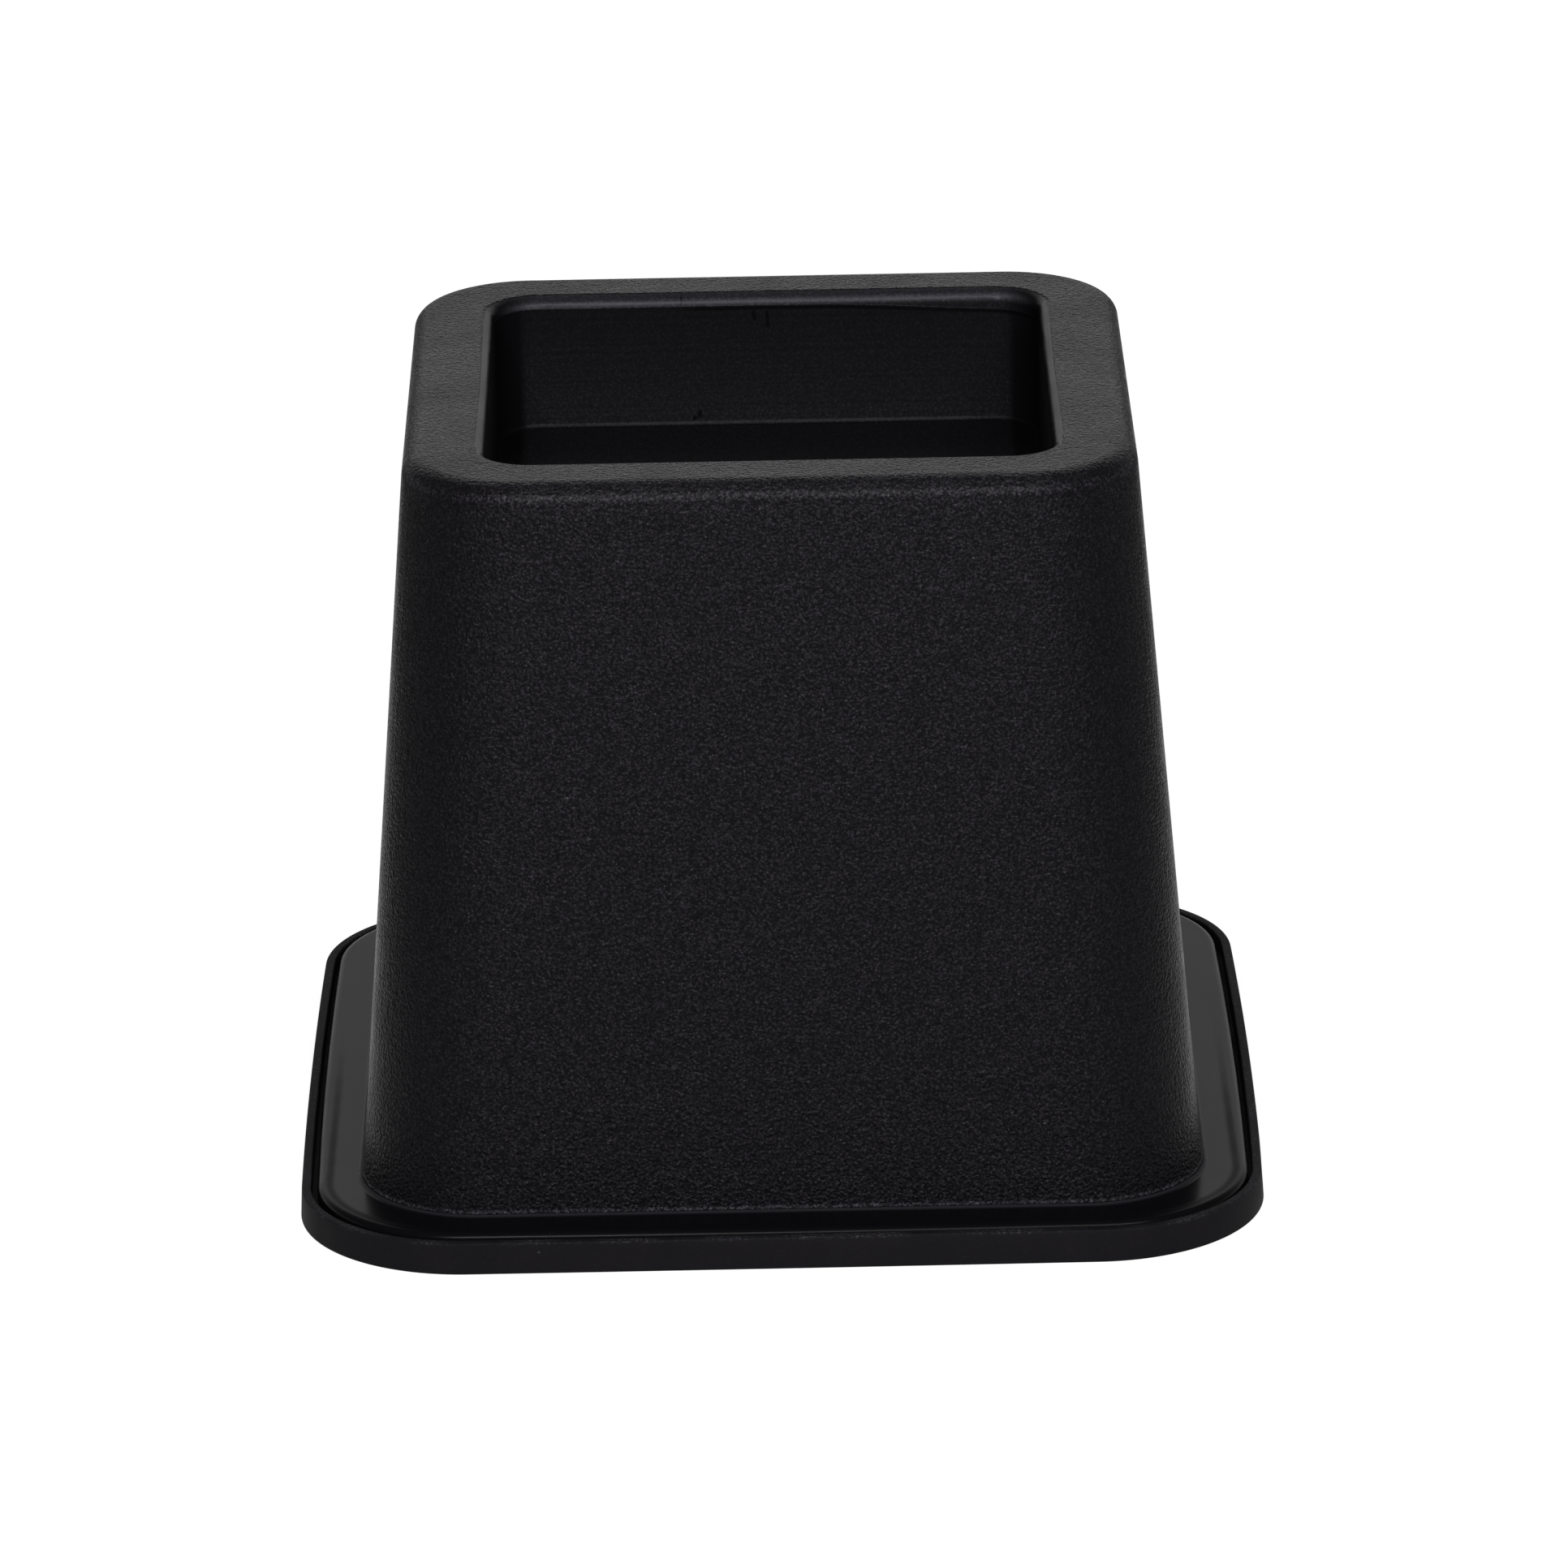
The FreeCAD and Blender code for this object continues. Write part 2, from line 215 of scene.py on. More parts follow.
class StageSettings(bpy.types.PropertyGroup):
    """The floor, the light and the camera."""

    eye: FloatVectorProperty(
        name="Camera place", description="Where the camera stands",
        subtype="TRANSLATION", unit="LENGTH", size=3,
        default=(-2.22 * MM, -1300.17 * MM, 507.53 * MM))
    target: FloatVectorProperty(
        name="Camera target", description="The point in the middle of the picture",
        subtype="TRANSLATION", unit="LENGTH", size=3, default=(1.26 * MM, 0.0, 46.86 * MM))
    roll: FloatProperty(
        name="Camera roll", description="How far the camera leans to its right",
        subtype="ANGLE", unit="ROTATION", default=math.radians(-1.0384))
    lens: FloatProperty(
        name="Focal length", description="Focal length in millimetres on a 36 mm sensor",
        default=222.55)
    floor_width: FloatProperty(
        name="Floor width", description="Width of the square floor",
        unit="LENGTH", default=12.0)
    paper_width: FloatProperty(
        name="Paper width", description="Width of the white paper that the riser mirrors",
        unit="LENGTH", default=0.3)
    floor_colour: FloatVectorProperty(
        name="Floor colour", description="Colour of the floor as it takes light and shadow",
        subtype="COLOR", size=3, min=0.0, max=1.0, default=(0.25, 0.25, 0.25))
    floor_glow: FloatProperty(
        name="Floor glow", description="What is added to the floor near the riser, where it is seen",
        subtype="FACTOR", min=0.0, max=1.0, default=0.875)
    far_glow: FloatProperty(
        name="Far glow", description="What is added to the floor further off, where it is seen",
        subtype="FACTOR", min=0.0, max=1.0, default=0.95)
    room: FloatProperty(
        name="Room strength",
        description="Strength of the light from the front and the sides of the room",
        min=0.0, default=0.15)
    ceiling: FloatProperty(
        name="Ceiling strength", description="Strength of the light from above",
        min=0.0, default=0.15)
    backdrop: FloatProperty(
        name="Backdrop strength", description="Strength of the light from behind the riser",
        min=0.0, default=1.02)
    left_power: FloatProperty(
        name="Left softbox", description="Power of the small softbox on the left",
        unit="POWER", min=0.0, default=1.2)
    right_power: FloatProperty(
        name="Right softbox", description="Power of the large softbox on the right",
        unit="POWER", min=0.0, default=1.4)
    back_power: FloatProperty(
        name="Back softbox", description="Power of the wide softbox behind",
        unit="POWER", min=0.0, default=0.4)
    side_power: FloatProperty(
        name="Side strips", description="Power of the low strip lamp on each side",
        unit="POWER", min=0.0, default=0.22)
    lamp_distance: FloatProperty(
        name="Lamp distance", description="From the riser's middle to each softbox",
        unit="LENGTH", default=0.5)


def add_node(tree, kind, values=None, **options):
    """Add a node, set its options, and fill or link its inputs."""
    node = tree.nodes.new(kind)
    for option, setting in options.items():
        setattr(node, option, setting)
    for key, setting in (values or {}).items():
        if isinstance(setting, bpy.types.NodeSocket):
            tree.links.new(setting, node.inputs[key])
        else:
            node.inputs[key].default_value = setting
    return node


def calculate(tree, operation, *values):
    """The result of a Math node."""
    return add_node(tree, "ShaderNodeMath", dict(enumerate(values)), operation=operation).outputs[0]


def smooth_step(tree, value, low, high):
    """Nothing below low, all above high, and a soft change between them."""
    limits = {"Value": value, "From Min": low, "From Max": high}
    return add_node(tree, "ShaderNodeMapRange", limits, interpolation_type="SMOOTHSTEP").outputs[0]


def band(tree, value, low, high, soft):
    """One between low and high, with soft ends."""
    rise = smooth_step(tree, value, low - soft, low + soft)
    return calculate(tree, "SUBTRACT", rise, smooth_step(tree, value, high - soft, high + soft))


def invert(tree, mask):
    """One where the mask is nothing."""
    return calculate(tree, "SUBTRACT", 1.0, mask)


def product(tree, first, *others):
    """All the values multiplied."""
    for value in others:
        first = calculate(tree, "MULTIPLY", first, value)
    return first


def blend_values(tree, factor, low, high):
    """A value between low and high."""
    return add_node(tree, "ShaderNodeMix", {0: factor, 2: low, 3: high}).outputs[0]


def blend_colours(tree, factor, low, high):
    """A colour between low and high."""
    values = {0: factor, 6: low, 7: high}
    return add_node(tree, "ShaderNodeMix", values, data_type="RGBA").outputs[2]


def solid(colour, level=1.0):
    """A colour with its alpha, made lighter or darker."""
    return (*(channel * level for channel in colour), 1.0)


def new_group(name, inputs, outputs):
    """Start a shader node group with named number sockets."""
    tree = bpy.data.node_groups.new(name, "ShaderNodeTree")
    for socket in inputs:
        tree.interface.new_socket(socket, in_out="INPUT", socket_type="NodeSocketFloat")
    for socket in outputs:
        tree.interface.new_socket(socket, in_out="OUTPUT", socket_type="NodeSocketFloat")
    return tree, tree.nodes.new("NodeGroupInput").outputs, tree.nodes.new("NodeGroupOutput").inputs


def use_group(tree, group, **values):
    """Place a group in a material and give its outputs."""
    return add_node(tree, "ShaderNodeGroup", values, node_tree=group).outputs


def give_outputs(tree, result, **values):
    """Link the values to a group's outputs."""
    for name, value in values.items():
        tree.links.new(value, result[name])


def object_place(tree):
    """The place of a point on the piece, as a vector."""
    return add_node(tree, "ShaderNodeTexCoord").outputs["Object"]


def object_axes(tree):
    """The place of a point on the piece, as its X, Y and Z."""
    return add_node(tree, "ShaderNodeSeparateXYZ", {"Vector": object_place(tree)}).outputs


def noise(tree, scale, detail):
    """Soft random noise over the piece."""
    values = {"Vector": object_place(tree), "Scale": scale, "Detail": detail}
    return add_node(tree, "ShaderNodeTexNoise", values).outputs["Fac"]


def cells(tree, scale):
    """Random cells over the piece."""
    return add_node(tree, "ShaderNodeTexVoronoi", {"Vector": object_place(tree), "Scale": scale}).outputs


def bump_normal(tree, height):
    """The normal of a surface with this height, in metres."""
    values = {"Height": height, "Strength": 1.0, "Distance": 1.0}
    return add_node(tree, "ShaderNodeBump", values).outputs["Normal"]


def grain_group():
    """Fine bumps and specks, as a spark-eroded mould leaves them. The specks also paint shade in the
    grain's hollows and highlights on its crowns.
    """
    tree, given, result = new_group("Moulded grain", ["Density"], ["Height", "Speckle"])
    domes = invert(tree, cells(tree, given["Density"])["Distance"])
    grit = blend_values(tree, 0.6, domes, noise(tree, given["Density"], detail=1.0))
    limits = {"Value": grit, "From Min": 0.36, "From Max": 0.74}
    crowns = add_node(tree, "ShaderNodeMapRange", limits).outputs[0]
    wide = calculate(tree, "MULTIPLY", given["Density"], 0.85)
    give_outputs(tree, result, Height=noise(tree, wide, detail=1.0),
                 Speckle=calculate(tree, "POWER", crowns, 2.0))
    return tree


def mottle_group():
    """Slow, soft unevenness of a surface."""
    tree, given, result = new_group("Soft mottle", ["Density"], ["Amount"])
    cloud = noise(tree, given["Density"], detail=3.0)
    give_outputs(tree, result, Amount=smooth_step(tree, cloud, 0.32, 0.68))
    return tree


def dust_group():
    """A few specks of pale dust."""
    tree, given, result = new_group("Dust specks", ["Density", "Size"], ["Mask"])
    spots = cells(tree, given["Density"])
    chance = add_node(tree, "ShaderNodeSeparateColor", {"Color": spots["Color"]}).outputs["Red"]
    reach = calculate(tree, "MULTIPLY", calculate(tree, "POWER", chance, 6.0), given["Size"])
    core = calculate(tree, "MULTIPLY", reach, 0.5)
    give_outputs(tree, result, Mask=invert(tree, smooth_step(tree, spots["Distance"], core, reach)))
    return tree


def line_group():
    """Fine parallel tool lines, which run where the given place doesn't change."""
    tree, given, result = new_group("Tool lines", ["Place", "Density"], ["Height"])
    along = calculate(tree, "MULTIPLY", given["Place"], given["Density"])
    values = {"W": along, "Scale": 1.0, "Detail": 2.0}
    lines = add_node(tree, "ShaderNodeTexNoise", values, noise_dimensions="1D")
    give_outputs(tree, result, Height=lines.outputs["Fac"])
    return tree


def riser_place(tree):
    """A point's axes, and its distances from the riser's middle along X and Y."""
    axes = object_axes(tree)
    return axes, calculate(tree, "ABSOLUTE", axes["X"]), calculate(tree, "ABSOLUTE", axes["Y"])


def below_rim(tree, axes):
    """How far a point is below the rim."""
    return calculate(tree, "SUBTRACT", RIM_LEVEL, axes["Z"])


def pocket_group(plastic):
    """Where the pocket is, with the painted highlight on its mouth, the painted sheen on its floor and
    ends, and its witness line.
    """
    outputs = ["Pocket", "Mouth", "Worn", "Haze", "Witness"]
    tree, _, result = new_group("Pocket zones", [], outputs)
    axes, beside, ahead = riser_place(tree)
    below = below_rim(tree, axes)
    half, deep = plastic.pocket_width / 2, plastic.pocket_depth
    farthest = calculate(tree, "MAXIMUM", beside, ahead)
    inside = calculate(tree, "LESS_THAN", farthest, half + plastic.mouth_round)
    wander = noise(tree, scale=45.0, detail=2.0)

    # The witness line wanders along the mouth and sags to the right.
    stray = calculate(tree, "MULTIPLY_ADD", wander, 0.5 * MM, -0.25 * MM - plastic.mouth_round)
    sag = calculate(tree, "MULTIPLY", smooth_step(tree, axes["X"], 6 * MM, 38 * MM), 1.15 * MM)
    past_line = calculate(tree, "ADD", calculate(tree, "SUBTRACT", below, sag), stray)
    line = band(tree, past_line, 0.15 * MM, 0.6 * MM, 0.15 * MM)
    right_part = smooth_step(tree, axes["X"], -14 * MM, -9 * MM)
    pocket = product(tree, inside, smooth_step(tree, past_line, -0.1 * MM, 0.1 * MM))

    # A painted highlight: the mouth is painted pale in a strip along the middle of its rounding.
    mouth = product(tree, inside, smooth_step(tree, below, 0.0, 0.1 * MM), invert(tree, pocket))
    across_strip = calculate(tree, "MULTIPLY_ADD", axes["X"], 0.003, below)
    faint = blend_values(tree, smooth_step(tree, below, 1.3 * MM, 2.2 * MM), 0.3, 0.1)
    strip = blend_values(tree, band(tree, across_strip, 0.8 * MM, 1.5 * MM, 0.3 * MM), faint, 1.0)
    off_corners = invert(tree, smooth_step(tree, beside, half - 6 * MM, half))

    # Painted sheen: brighter down the end walls and on the floor near them, with a painted highlight in
    # the corner where they meet.
    on_end = smooth_step(tree, ahead, half - 3 * MM, half - 1 * MM)
    on_floor = smooth_step(tree, below, deep - 0.4 * MM, deep - 0.1 * MM)
    near_wall = smooth_step(tree, ahead, half - 1.4 * MM, half - 0.9 * MM)
    crease_highlight = product(tree, band(tree, below, deep - 0.5 * MM, deep - 0.05 * MM, 0.1 * MM),
                     smooth_step(tree, ahead, half - 1.05 * MM, half - 0.85 * MM),
                     blend_values(tree, smooth_step(tree, wander, 0.4, 0.55), 0.45, 1.0))
    wall_sheen_amount = calculate(tree, "MULTIPLY_ADD", below, 0.27 / deep, 0.08)
    sheen_amount = blend_values(tree, on_floor, wall_sheen_amount, blend_values(tree, near_wall, 0.24, 0.12))
    between = invert(tree, smooth_step(tree, beside, half - 4.4 * MM, half - 3.2 * MM))
    sheen = product(tree, inside, between, calculate(tree, "MAXIMUM", on_floor, on_end),
                   calculate(tree, "MAXIMUM", sheen_amount, crease_highlight))

    give_outputs(tree, result, Pocket=pocket, Mouth=mouth, Haze=sheen,
                 Worn=product(tree, mouth, strip, off_corners),
                 Witness=product(tree, inside, line, right_part))
    return tree


def wall_group(plastic):
    """Where the wall is grained, how strongly, and where the grain ends at its foot."""
    tree, _, result = new_group("Wall zones", [], ["Above", "Specked", "Relief", "Foot", "Glint"])
    axes, beside, ahead = riser_place(tree)
    below = below_rim(tree, axes)
    foot_top = FLANGE_LEVEL + plastic.foot_round
    above = smooth_step(tree, axes["Z"], foot_top - 0.7 * MM, foot_top - 0.5 * MM)
    foot = band(tree, axes["Z"], FLANGE_LEVEL + 0.1 * MM, foot_top - 0.6 * MM, 0.1 * MM)
    # A painted highlight: a sparkling line of pale specks at the top of the foot rounding.
    glint = band(tree, axes["Z"], foot_top - 0.6 * MM, foot_top - 0.15 * MM, 0.12 * MM)

    # Denser pale specks paint a highlight line just below the shoulder. Fewer specks on the shoulder and
    # round the corners paint them a little darker, as painted shade.
    shoulder = blend_values(tree, smooth_step(tree, below, 1.0 * MM, 2.6 * MM), 0.8, 1.0)
    bright_line = band(tree, below, 1.4 * MM, 2.3 * MM, 0.3 * MM)
    sparkle = calculate(tree, "MULTIPLY_ADD", bright_line, 1.6, shoulder)
    lean = calculate(tree, "DIVIDE", calculate(tree, "MINIMUM", beside, ahead),
                     calculate(tree, "MAXIMUM", beside, ahead))
    flat = invert(tree, smooth_step(tree, lean, 0.64, 0.95))
    specks_with_painted_light = product(tree, sparkle, blend_values(tree, flat, 0.5, 1.0))

    # The relief is shallower on the shoulder.
    on_top = invert(tree, smooth_step(tree, below, 0.3 * MM, 1.1 * MM))
    deeply = calculate(tree, "MAXIMUM", on_top, smooth_step(tree, below, 2.6 * MM, 4.5 * MM))
    relief = blend_values(tree, deeply, 0.4, 1.0)

    give_outputs(tree, result, Above=above, Specked=specks_with_painted_light, Relief=relief, Foot=foot, Glint=glint)
    return tree


def flange_group(plastic):
    """Where the flange is dull: a band inside the edge of its front half."""
    tree, _, result = new_group("Flange zones", [], ["Dull"])
    axes, beside, ahead = riser_place(tree)
    straight = plastic.flange_width / 2 - plastic.flange_corner
    squares = []
    for distance in (beside, ahead):
        past = calculate(tree, "MAXIMUM", calculate(tree, "SUBTRACT", distance, straight), 0.0)
        squares.append(product(tree, past, past))
    from_corner = calculate(tree, "SQRT", calculate(tree, "ADD", *squares))
    from_edge = calculate(tree, "SUBTRACT", plastic.flange_corner, from_corner)
    dull = product(tree, band(tree, from_edge, 1.6 * MM, 2.7 * MM, 0.45 * MM),
                   invert(tree, smooth_step(tree, axes["Y"], -30 * MM, 25 * MM)),
                   calculate(tree, "LESS_THAN", axes["Z"], FLANGE_LEVEL + 0.1 * MM))
    give_outputs(tree, result, Dull=dull)
    return tree


# Small dark marks on the pocket's back wall, in millimetres: place across, lower and upper end, width.
POCKET_MARKS = ((-1.7, 104.0, 105.5, 0.5), (0.15, 103.0, 105.5, 0.45), (-12.2, 106.3, 107.9, 0.16),
                (-9.8, 89.6, 90.7, 0.7), (-10.6, 89.2, 89.9, 0.6))


def mark_group(plastic):
    """Dark streaks that the leg left on the pocket's back wall."""
    tree, _, result = new_group("Pocket marks", [], ["Mask"])
    axes = object_axes(tree)
    shake = calculate(tree, "SUBTRACT", noise(tree, scale=700.0, detail=2.0), 0.5)
    across = calculate(tree, "MULTIPLY_ADD", shake, 0.6 * MM, axes["X"])
    mask = 0.0
    for middle, low, high, width in POCKET_MARKS:
        left, right = (middle - width / 2) * MM, (middle + width / 2) * MM
        streak = product(tree, band(tree, across, left, right, 0.07 * MM),
                         band(tree, axes["Z"], low * MM, high * MM, 0.25 * MM))
        mask = calculate(tree, "MAXIMUM", streak, mask)
    back = plastic.pocket_width / 2
    at_back = smooth_step(tree, axes["Y"], back - 2 * MM, back - 1 * MM)
    give_outputs(tree, result, Mask=product(tree, mask, at_back))
    return tree


def shared_group(name, build):
    """A node group that is built once and used by both materials."""
    return bpy.data.node_groups.get(name) or build()


def new_material(name, gloss):
    """A material with one Principled shader."""
    material = bpy.data.materials.new(name)
    material.use_nodes = True
    tree = material.node_tree
    shader = tree.nodes["Principled BSDF"]
    shader.inputs["Specular IOR Level"].default_value = gloss
    return material, tree, shader


def plastic_material(plastic):
    """Black plastic: grained outside, satin in the pocket and on the flange."""
    material, tree, shader = new_material("grained_plastic", plastic.gloss)
    pocket = use_group(tree, pocket_group(plastic))
    wall = use_group(tree, wall_group(plastic))
    flange = use_group(tree, flange_group(plastic))
    marks = use_group(tree, mark_group(plastic))
    grain = use_group(tree, shared_group("Moulded grain", grain_group), Density=1.0 / plastic.grain_pitch)
    mottle = use_group(tree, shared_group("Soft mottle", mottle_group), Density=90.0)
    dust = use_group(tree, shared_group("Dust specks", dust_group), Density=130.0, Size=0.05)
    in_pocket = calculate(tree, "MAXIMUM", pocket["Mouth"], pocket["Pocket"])
    grained = product(tree, wall["Above"], invert(tree, in_pocket))

    # The tool lines run level in the pocket, and along each side of the flange.
    axes, beside, ahead = riser_place(tree)
    sideways = calculate(tree, "GREATER_THAN", beside, ahead)
    across = blend_values(tree, sideways, axes["X"], axes["Y"])
    place = blend_values(tree, pocket["Pocket"], across, axes["Z"])
    lines = use_group(tree, line_group(), Place=place, Density=1.0 / plastic.line_pitch)

    relief = product(tree, grain["Height"], grained, wall["Relief"], plastic.grain_depth)
    height = calculate(tree, "MULTIPLY_ADD", lines["Height"], plastic.line_depth, relief)
    tree.links.new(bump_normal(tree, height), shader.inputs["Normal"])

    finish = blend_values(tree, pocket["Pocket"], plastic.flange_roughness, plastic.pocket_roughness)
    finish = blend_values(tree, pocket["Mouth"], finish, plastic.mouth_roughness)
    finish = blend_values(tree, wall["Foot"], finish, plastic.pocket_roughness)
    finish = blend_values(tree, flange["Dull"], finish, plastic.dull_roughness)
    finish = blend_values(tree, grained, finish, plastic.grain_roughness)
    uneven = calculate(tree, "MULTIPLY_ADD", mottle["Amount"], 0.06, finish)
    shine = calculate(tree, "MULTIPLY", grain["Speckle"], grained)
    tree.links.new(calculate(tree, "MULTIPLY_ADD", shine, -0.15, uneven), shader.inputs["Roughness"])

    # The painted sheen, mottled by the specks and the tool lines.
    streaks = calculate(tree, "MULTIPLY_ADD", lines["Height"], 0.8, 0.25)
    sheen_amount = calculate(tree, "MULTIPLY_ADD", grain["Speckle"], 1.8, streaks)
    sheen = product(tree, pocket["Haze"], sheen_amount)
    smooth_skin = blend_colours(tree, sheen, solid(plastic.smooth_colour), solid(plastic.painted_sheen_colour))
    # Painted highlight on the pocket's mouth.
    highlit = product(tree, pocket["Worn"], calculate(tree, "ADD", grain["Speckle"], 0.8))
    smooth_skin = blend_colours(tree, highlit, smooth_skin, solid(plastic.painted_highlight_colour))
    foot_colour = solid(plastic.grain_and_hollow_shade_colour, 3.0)
    smooth_skin = blend_colours(tree, wall["Foot"], smooth_skin, foot_colour)
    mark_colour = solid(plastic.smooth_colour, 0.3)
    dark = calculate(tree, "MAXIMUM", marks["Mask"], pocket["Witness"])
    marked = calculate(tree, "MULTIPLY", dark, 0.8)
    smooth_skin = blend_colours(tree, marked, smooth_skin, mark_colour)

    # The specks' strength carries the painted highlight line under the shoulder and the painted shade on
    # the shoulder and corners.
    specks = calculate(tree, "MULTIPLY", grain["Speckle"], wall["Specked"])
    # Dark hollows and pale crowns: painted shade and painted highlights of the grain's relief, over the
    # plastic's own tone.
    grained_skin = blend_colours(tree, specks, solid(plastic.grain_and_hollow_shade_colour), solid(plastic.speck_and_painted_highlight_colour))
    # Painted highlight along the foot, in the highlight colour.
    glint = product(tree, wall["Glint"], calculate(tree, "MULTIPLY_ADD", grain["Speckle"], 1.35, 0.04))
    grained_skin = blend_colours(tree, glint, grained_skin, solid(plastic.painted_highlight_colour))
    skin = blend_colours(tree, grained, smooth_skin, grained_skin)
    dusty = blend_colours(tree, calculate(tree, "MULTIPLY", dust["Mask"], 0.3), skin, PLASTIC_DUST)
    tree.links.new(dusty, shader.inputs["Base Color"])
    return material


def rubber_material(boot):
    """Matt black rubber with a faint skin, scuffed along the lip."""
    material, tree, shader = new_material("boot_rubber", boot.gloss)
    grain = use_group(tree, shared_group("Moulded grain", grain_group), Density=1.0 / boot.grain_pitch)
    mottle = use_group(tree, shared_group("Soft mottle", mottle_group), Density=140.0)
    scratch = use_group(tree, shared_group("Soft mottle", mottle_group), Density=2400.0)
    dust = use_group(tree, shared_group("Dust specks", dust_group), Density=180.0, Size=0.06)

    height = calculate(tree, "MULTIPLY", grain["Height"], boot.grain_depth)
    tree.links.new(bump_normal(tree, height), shader.inputs["Normal"])
    rough = calculate(tree, "MULTIPLY_ADD", mottle["Amount"], 0.1, boot.roughness - 0.05)
    tree.links.new(rough, shader.inputs["Roughness"])

    from_lip = calculate(tree, "SUBTRACT", object_axes(tree)["Z"], boot.lip_height)
    lip_edge = smooth_step(tree, from_lip, -0.45 * MM, -0.15 * MM)
    scuff = product(tree, lip_edge, calculate(tree, "POWER", scratch["Amount"], 3.0), mottle["Amount"])
    cloud = calculate(tree, "MULTIPLY", mottle["Amount"], 0.6)
    fleck = calculate(tree, "MULTIPLY_ADD", grain["Speckle"], 0.5, cloud)
    skin = blend_colours(tree, fleck, solid(boot.colour, 0.75), solid(boot.colour, 1.4))
    scuffed = blend_colours(tree, scuff, skin, solid(boot.scuff_colour))
    dusty = blend_colours(tree, calculate(tree, "MULTIPLY", dust["Mask"], 0.6), scuffed, RUBBER_DUST)
    tree.links.new(dusty, shader.inputs["Base Color"])
    return material


def arc(centre, radius, start, end, steps):
    """Points of an arc in a profile, with its angles in degrees."""
    angles = (math.radians(start + (end - start) * step / steps) for step in range(steps + 1))
    return [(centre[0] + radius * math.cos(angle), centre[1] + radius * math.sin(angle))
            for angle in angles]


def bowed_square(half_width, corner, bow, side_steps=56, corner_steps=40):
    """A square with round corners and bulging sides: each point with its outward direction."""
    bow_radius = ((half_width - corner) ** 2 + bow ** 2) / (2 * bow)
    offset = bow_radius - half_width
    reach = (math.sqrt(2 * (bow_radius - corner) ** 2 - offset ** 2) - offset) / 2
    swing = math.atan2(reach, reach + offset)
    points = []
    for quarter in range(4):
        spin = Matrix.Rotation(math.pi / 2 * quarter, 2)
        for step in range(side_steps):
            angle = swing * (2 * step / side_steps - 1)
            outward = Vector((math.cos(angle), math.sin(angle)))
            points.append((spin @ (Vector((-offset, 0.0)) + bow_radius * outward), spin @ outward))
        for step in range(corner_steps):
            angle = swing + (math.pi / 2 - 2 * swing) * step / corner_steps
            outward = Vector((math.cos(angle), math.sin(angle)))
            points.append((spin @ (Vector((reach, reach)) + corner * outward), spin @ outward))
    return points


# How far the soft lip leans out, in millimetres, at angles round the boot from +X towards +Y.
LIP_LEAN = ((0, 0.0), (60, -0.05), (120, 0.05), (180, -0.05), (225, 0.0), (250, -0.05), (268, -0.35),
            (292, -0.55), (310, -0.35), (335, 0.0))


def lip_lean(angle):
    """The lip's lean at an angle in degrees, eased between the listed ones."""
    stops = LIP_LEAN + ((LIP_LEAN[0][0] + 360, LIP_LEAN[0][1]),)
    for (start, lean), (end, next_lean) in zip(stops, stops[1:]):
        if start <= angle <= end:
            share = (angle - start) / (end - start)
            ease = share * share * (3 - 2 * share)
            return (lean + (next_lean - lean) * ease) * MM
    raise ValueError(f"no lean at {angle} degrees")


def boot_profile(boot, height):
    """The boot's section from under the sole, over the lip, to the bed: inward distance and height."""
    sole, lip, fillet = boot.sole_round, boot.lip_round, 0.3 * MM
    profile = [(boot.lip_thickness + TRAY_EDGE, 0.0)]
    profile += arc((boot.sole_inset + sole, sole), sole, 270, 180, 6)
    profile += [(boot.sole_inset * (1 - step / 4), sole + (height - lip - sole) * step / 4)
                for step in (1, 2, 3)]
    profile += arc((lip, height - lip), lip, 180, 90, 6)
    profile += arc((boot.lip_thickness - lip, height - lip), lip, 90, 0, 6)
    foot = boot.floor_thickness + fillet
    profile += [(boot.lip_thickness, height - lip + (foot - height + lip) * step / 3)
                for step in (1, 2)]
    profile += arc((boot.lip_thickness + fillet, foot), fillet, 180, 270, 4)
    profile.append((boot.lip_thickness + TRAY_EDGE, boot.floor_thickness))
    return profile


def boot_mesh(boot):
    """The boot as one closed mesh, slightly out of square on the flange and with an uneven lip."""
    low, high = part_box(BOOT)
    half_width = (high.x - low.x) / 2 - SKEW_ROOM
    height = high.z - low.z
    sole = bowed_square(half_width, boot.sole_corner, boot.sole_bow)
    lip = bowed_square(half_width, boot.corner, boot.side_bow)
    skew = Matrix(((1.0, boot.skew), (boot.skew, 1.0)))
    mesh = bmesh.new()
    rings = []
    for inward, level in boot_profile(boot, height):
        share = level / height
        ring = []
        for (sole_point, _), (lip_point, outward) in zip(sole, lip):
            point = sole_point.lerp(lip_point, share)
            angle = math.degrees(math.atan2(point.y, point.x)) % 360
            place = skew @ (point + outward * (share ** 1.5 * lip_lean(angle) - inward))
            ring.append(mesh.verts.new((place.x, place.y, low.z + level)))
        rings.append(ring)
    for lower, upper in zip(rings, rings[1:]):
        for i in range(len(lower)):
            j = (i + 1) % len(lower)
            mesh.faces.new((lower[i], lower[j], upper[j], upper[i]))
    mesh.faces.new(reversed(rings[0]))
    mesh.faces.new(rings[-1])
    bmesh.ops.recalc_face_normals(mesh, faces=mesh.faces)
    for face in mesh.faces:
        face.smooth = True
    data = bpy.data.meshes.new("rubber_boot_tray")
    mesh.to_mesh(data)
    mesh.free()
    return data


def add_object(name, data):
    """Put an object in the scene."""
    item = bpy.data.objects.new(name, data)
    bpy.context.scene.collection.objects.link(item)
    return item


